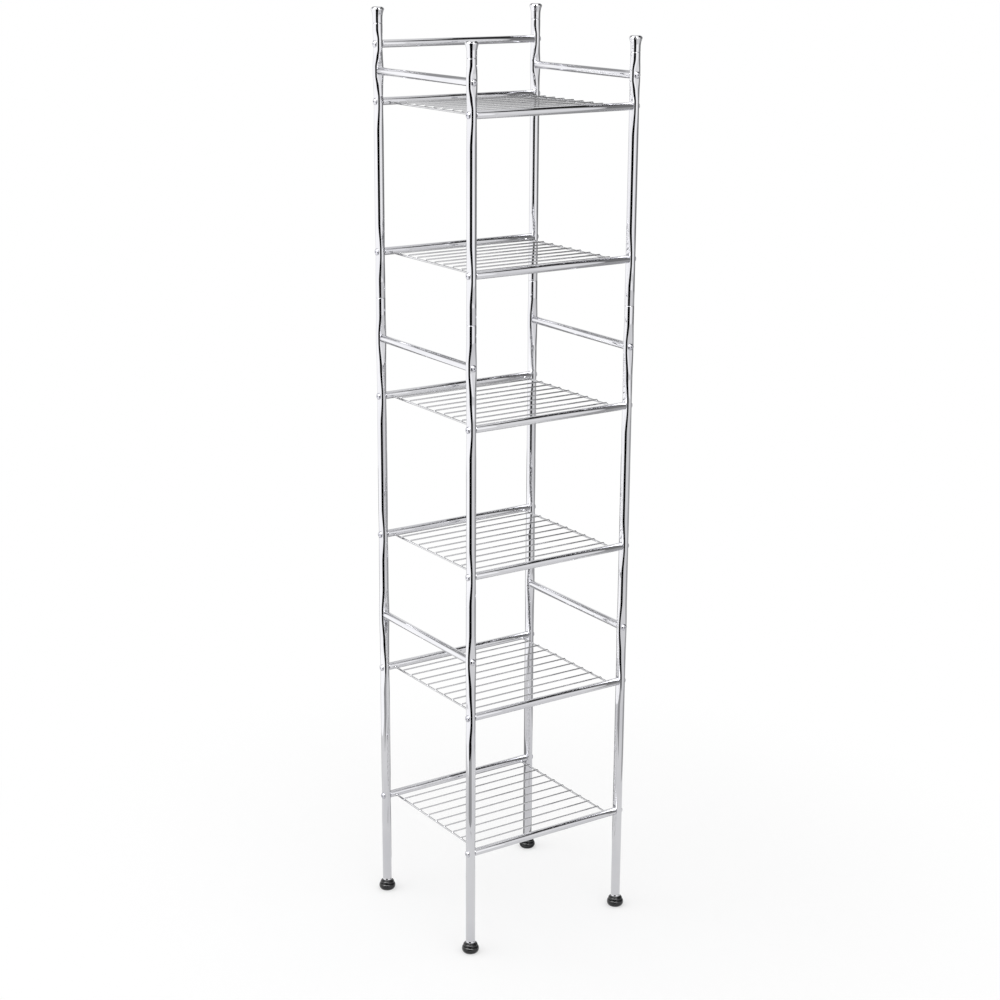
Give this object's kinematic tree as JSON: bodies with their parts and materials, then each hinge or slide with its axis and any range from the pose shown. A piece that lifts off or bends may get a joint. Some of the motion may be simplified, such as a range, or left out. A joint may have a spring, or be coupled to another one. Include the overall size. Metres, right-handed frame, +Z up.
{
  "type": "bathroom storage tower",
  "caption": "Tall narrow open tower of chromed tube posts with flared finials, wire shelves, side rails and black screw-in levelling feet, for bathroom storage.",
  "frame": {"origin": "on the floor, midway between the four posts", "axes": "+X along the front to the right, +Y to the back, +Z up"},
  "size_m": [0.334, 0.303, 1.539],
  "materials": {
    "chrome": "bright chrome plate on steel",
    "foot_plastic": "black moulded plastic, semi-matt",
    "zinc_steel": "zinc-plated steel, hidden inside"
  },
  "bodies": {
    "frame": {"back_rail": "chrome", "back_rail_inserts": "zinc_steel", "back_rail_screws": "chrome", "finial_back_left": "chrome", "finial_back_right": "chrome", "finial_front_left": "chrome", "finial_front_right": "chrome", "foot_collar_back_left": "chrome", "foot_collar_back_right": "chrome", "foot_collar_front_left": "chrome", "foot_collar_front_right": "chrome", "post_back_left_lower": "chrome", "post_back_left_upper": "chrome", "post_back_right_lower": "chrome", "post_back_right_upper": "chrome", "post_connector_back_left": "zinc_steel", "post_connector_back_right": "zinc_steel", "post_connector_front_left": "zinc_steel", "post_connector_front_right": "zinc_steel", "post_front_left_lower": "chrome", "post_front_left_upper": "chrome", "post_front_right_lower": "chrome", "post_front_right_upper": "chrome", "shelf_1_back_tube": "chrome", "shelf_1_front_tube": "chrome", "shelf_1_wire_deck": "chrome", "shelf_2_back_tube": "chrome", "shelf_2_front_tube": "chrome", "shelf_2_wire_deck": "chrome", "shelf_3_back_tube": "chrome", "shelf_3_front_tube": "chrome", "shelf_3_wire_deck": "chrome", "shelf_4_back_tube": "chrome", "shelf_4_front_tube": "chrome", "shelf_4_wire_deck": "chrome", "shelf_5_back_tube": "chrome", "shelf_5_front_tube": "chrome", "shelf_5_wire_deck": "chrome", "shelf_6_back_tube": "chrome", "shelf_6_front_tube": "chrome", "shelf_6_wire_deck": "chrome", "shelf_inserts": "zinc_steel", "shelf_screws": "chrome", "side_rail_inserts": "zinc_steel", "side_rail_lower_left": "chrome", "side_rail_lower_right": "chrome", "side_rail_middle_left": "chrome", "side_rail_middle_right": "chrome", "side_rail_screws": "chrome", "side_rail_top_left": "chrome", "side_rail_top_right": "chrome"},
    "foot_front_left": {"foot_base_front_left": "foot_plastic", "foot_stud_front_left": "zinc_steel"},
    "foot_back_left": {"foot_base_back_left": "foot_plastic", "foot_stud_back_left": "zinc_steel"},
    "foot_front_right": {"foot_base_front_right": "foot_plastic", "foot_stud_front_right": "zinc_steel"},
    "foot_back_right": {"foot_base_back_right": "foot_plastic", "foot_stud_back_right": "zinc_steel"}
  },
  "joints": [
    {"name": "foot_front_left_level", "type": "slide", "parent": "frame", "child": "foot_front_left", "axis": [0, 0, -1], "range_m": [0, 0.01]},
    {"name": "foot_back_left_level", "type": "slide", "parent": "frame", "child": "foot_back_left", "axis": [0, 0, -1], "range_m": [0, 0.01]},
    {"name": "foot_front_right_level", "type": "slide", "parent": "frame", "child": "foot_front_right", "axis": [0, 0, -1], "range_m": [0, 0.01]},
    {"name": "foot_back_right_level", "type": "slide", "parent": "frame", "child": "foot_back_right", "axis": [0, 0, -1], "range_m": [0, 0.01]}
  ]
}
